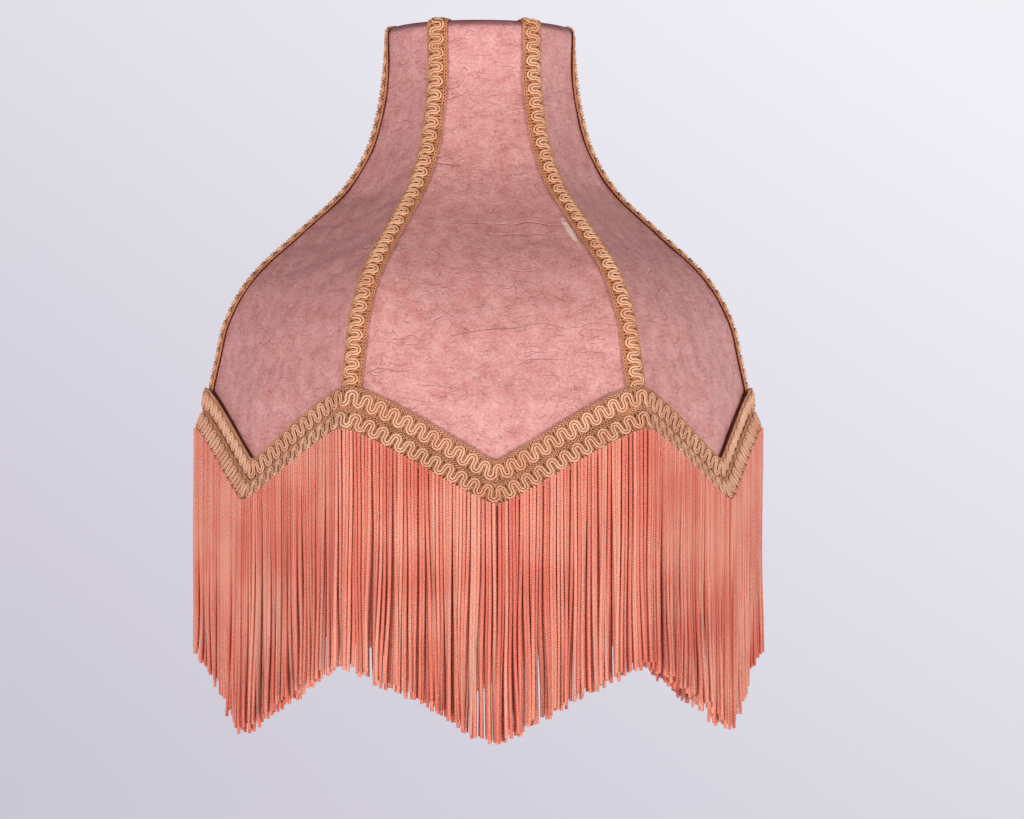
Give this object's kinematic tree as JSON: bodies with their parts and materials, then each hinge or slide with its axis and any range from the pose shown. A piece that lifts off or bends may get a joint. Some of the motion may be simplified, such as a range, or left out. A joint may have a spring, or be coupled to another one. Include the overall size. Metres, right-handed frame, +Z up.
{
  "type": "lamp shade",
  "caption": "Bell-shaped fabric lamp shade on a wire frame, with gimp-covered ribs, a zigzag hem and a long cord fringe.",
  "frame": {"origin": "centre of the fitter ring, at half its thickness, where the shade sits on its lampholder", "axes": "+Z up along the shade's centre line; panel 1 faces -Y"},
  "size_m": [0.403, 0.3844, 0.4821],
  "materials": {
    "satin": "creased dusty-rose satin laminate with a soft sheen",
    "lining": "plain cream backing cloth, matt",
    "gimp": "tan and gold scroll gimp of twisted viscose cord",
    "fringe": "coral chainette viscose cord, soft lustre",
    "frame_wire": "cream enamelled steel wire, satin"
  },
  "bodies": {
    "shade": {"top_ring": "frame_wire", "fitter_ring": "frame_wire", "fitter_arm_1": "frame_wire", "fitter_arm_2": "frame_wire", "fitter_arm_3": "frame_wire", "hem_wire": "frame_wire", "rib_1": "frame_wire", "panel_1": "satin", "lining_1": "lining", "rib_gimp_1": "gimp", "rib_2": "frame_wire", "panel_2": "satin", "lining_2": "lining", "rib_gimp_2": "gimp", "rib_3": "frame_wire", "panel_3": "satin", "lining_3": "lining", "rib_gimp_3": "gimp", "rib_4": "frame_wire", "panel_4": "satin", "lining_4": "lining", "rib_gimp_4": "gimp", "rib_5": "frame_wire", "panel_5": "satin", "lining_5": "lining", "rib_gimp_5": "gimp", "rib_6": "frame_wire", "panel_6": "satin", "lining_6": "lining", "rib_gimp_6": "gimp", "hem_gimp_upper": "gimp", "hem_gimp_lower": "gimp", "fringe_heading": "fringe"},
    "fringe_1_left": {"fringe_1_left": "fringe"},
    "fringe_1_right": {"fringe_1_right": "fringe"},
    "fringe_2_left": {"fringe_2_left": "fringe"},
    "fringe_2_right": {"fringe_2_right": "fringe"},
    "fringe_3_left": {"fringe_3_left": "fringe"},
    "fringe_3_right": {"fringe_3_right": "fringe"},
    "fringe_4_left": {"fringe_4_left": "fringe"},
    "fringe_4_right": {"fringe_4_right": "fringe"},
    "fringe_5_left": {"fringe_5_left": "fringe"},
    "fringe_5_right": {"fringe_5_right": "fringe"},
    "fringe_6_left": {"fringe_6_left": "fringe"},
    "fringe_6_right": {"fringe_6_right": "fringe"}
  },
  "joints": [
    {"name": "fringe_1_left_swing", "type": "hinge", "parent": "shade", "child": "fringe_1_left", "pos_m": [-0.04967, -0.18074, -0.2773], "axis": [-0.8612, 0.1501, 0.4855], "range_deg": [0, 35]},
    {"name": "fringe_1_right_swing", "type": "hinge", "parent": "shade", "child": "fringe_1_right", "pos_m": [0.04967, -0.18074, -0.2773], "axis": [-0.8612, -0.1501, -0.4855], "range_deg": [0, 35]},
    {"name": "fringe_2_left_swing", "type": "hinge", "parent": "shade", "child": "fringe_2_left", "pos_m": [0.13169, -0.13339, -0.2773], "axis": [-0.5606, -0.6708, 0.4855], "range_deg": [0, 35]},
    {"name": "fringe_2_right_swing", "type": "hinge", "parent": "shade", "child": "fringe_2_right", "pos_m": [0.18136, -0.04735, -0.2773], "axis": [-0.3006, -0.8209, -0.4855], "range_deg": [0, 35]},
    {"name": "fringe_3_left_swing", "type": "hinge", "parent": "shade", "child": "fringe_3_left", "pos_m": [0.18136, 0.04735, -0.2773], "axis": [0.3006, -0.8209, 0.4855], "range_deg": [0, 35]},
    {"name": "fringe_3_right_swing", "type": "hinge", "parent": "shade", "child": "fringe_3_right", "pos_m": [0.13169, 0.13339, -0.2773], "axis": [0.5606, -0.6708, -0.4855], "range_deg": [0, 35]},
    {"name": "fringe_4_left_swing", "type": "hinge", "parent": "shade", "child": "fringe_4_left", "pos_m": [0.04967, 0.18074, -0.2773], "axis": [0.8612, -0.1501, 0.4855], "range_deg": [0, 35]},
    {"name": "fringe_4_right_swing", "type": "hinge", "parent": "shade", "child": "fringe_4_right", "pos_m": [-0.04967, 0.18074, -0.2773], "axis": [0.8612, 0.1501, -0.4855], "range_deg": [0, 35]},
    {"name": "fringe_5_left_swing", "type": "hinge", "parent": "shade", "child": "fringe_5_left", "pos_m": [-0.13169, 0.13339, -0.2773], "axis": [0.5606, 0.6708, 0.4855], "range_deg": [0, 35]},
    {"name": "fringe_5_right_swing", "type": "hinge", "parent": "shade", "child": "fringe_5_right", "pos_m": [-0.18136, 0.04735, -0.2773], "axis": [0.3006, 0.8209, -0.4855], "range_deg": [0, 35]},
    {"name": "fringe_6_left_swing", "type": "hinge", "parent": "shade", "child": "fringe_6_left", "pos_m": [-0.18136, -0.04735, -0.2773], "axis": [-0.3006, 0.8209, 0.4855], "range_deg": [0, 35]},
    {"name": "fringe_6_right_swing", "type": "hinge", "parent": "shade", "child": "fringe_6_right", "pos_m": [-0.13169, -0.13339, -0.2773], "axis": [-0.5606, 0.6708, -0.4855], "range_deg": [0, 35]}
  ]
}
